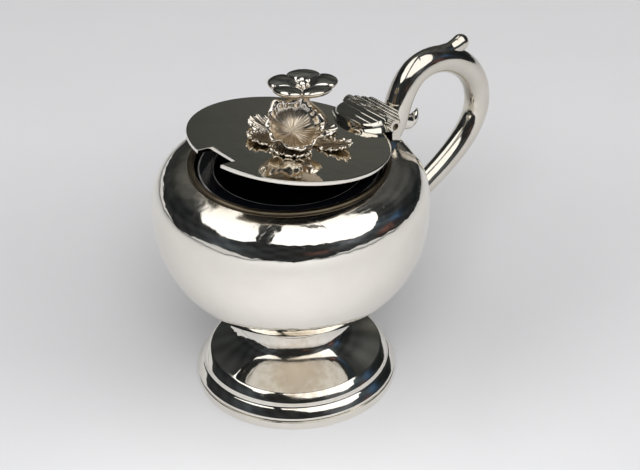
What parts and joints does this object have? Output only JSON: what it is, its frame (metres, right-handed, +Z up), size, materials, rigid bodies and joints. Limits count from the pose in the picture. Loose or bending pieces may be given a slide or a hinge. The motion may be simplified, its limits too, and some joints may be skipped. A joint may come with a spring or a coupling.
{
  "type": "mustard pot",
  "caption": "Globular silver mustard pot on a spreading foot, with a hinged flat lid that has a spoon slot and flower finial, a scroll handle and a loose dark glass liner.",
  "frame": {"origin": "on the pot's axis, in the plane of the foot's underside", "axes": "+Z up along the pot's axis, +X towards the handle, the spoon slot on -X, the hinge axis along Y"},
  "size_m": [0.1033, 0.07, 0.085],
  "materials": {
    "silver": "polished silver with fine scratches",
    "toned_silver": "silver with warm toned recesses",
    "dark_glass": "glossy, very dark blue"
  },
  "bodies": {
    "pot": {"body_shell": "silver", "mouth_wire": "toned_silver", "liner_seat": "silver", "neck_collar": "silver", "foot_spread": "silver", "foot_band": "silver", "handle": "silver", "handle_spur": "silver", "handle_curl": "silver", "hinge_pot_leaf": "silver", "hinge_pin": "toned_silver"},
    "lid": {"lid_plate": "silver", "hinge_lid_leaf": "silver", "finial_boss": "toned_silver", "finial_nut": "silver", "finial_blossom": "toned_silver", "finial_stem": "toned_silver", "finial_flower": "silver", "flower_button": "toned_silver", "leaf_front_right": "toned_silver", "leaf_hinge_side": "toned_silver", "leaf_back": "toned_silver", "leaf_slot_side": "toned_silver", "leaf_front": "toned_silver"},
    "liner": {"glass_liner": "dark_glass"}
  },
  "joints": [
    {"name": "lid_hinge", "type": "hinge", "parent": "pot", "child": "lid", "pos_m": [0.0273, 0, 0.0671], "axis": [0, 1, 0], "range_deg": [-10, 85]},
    {"name": "liner_lift", "type": "slide", "parent": "pot", "child": "liner", "axis": [0, 0, 1], "range_m": [0, 0.0015]}
  ]
}
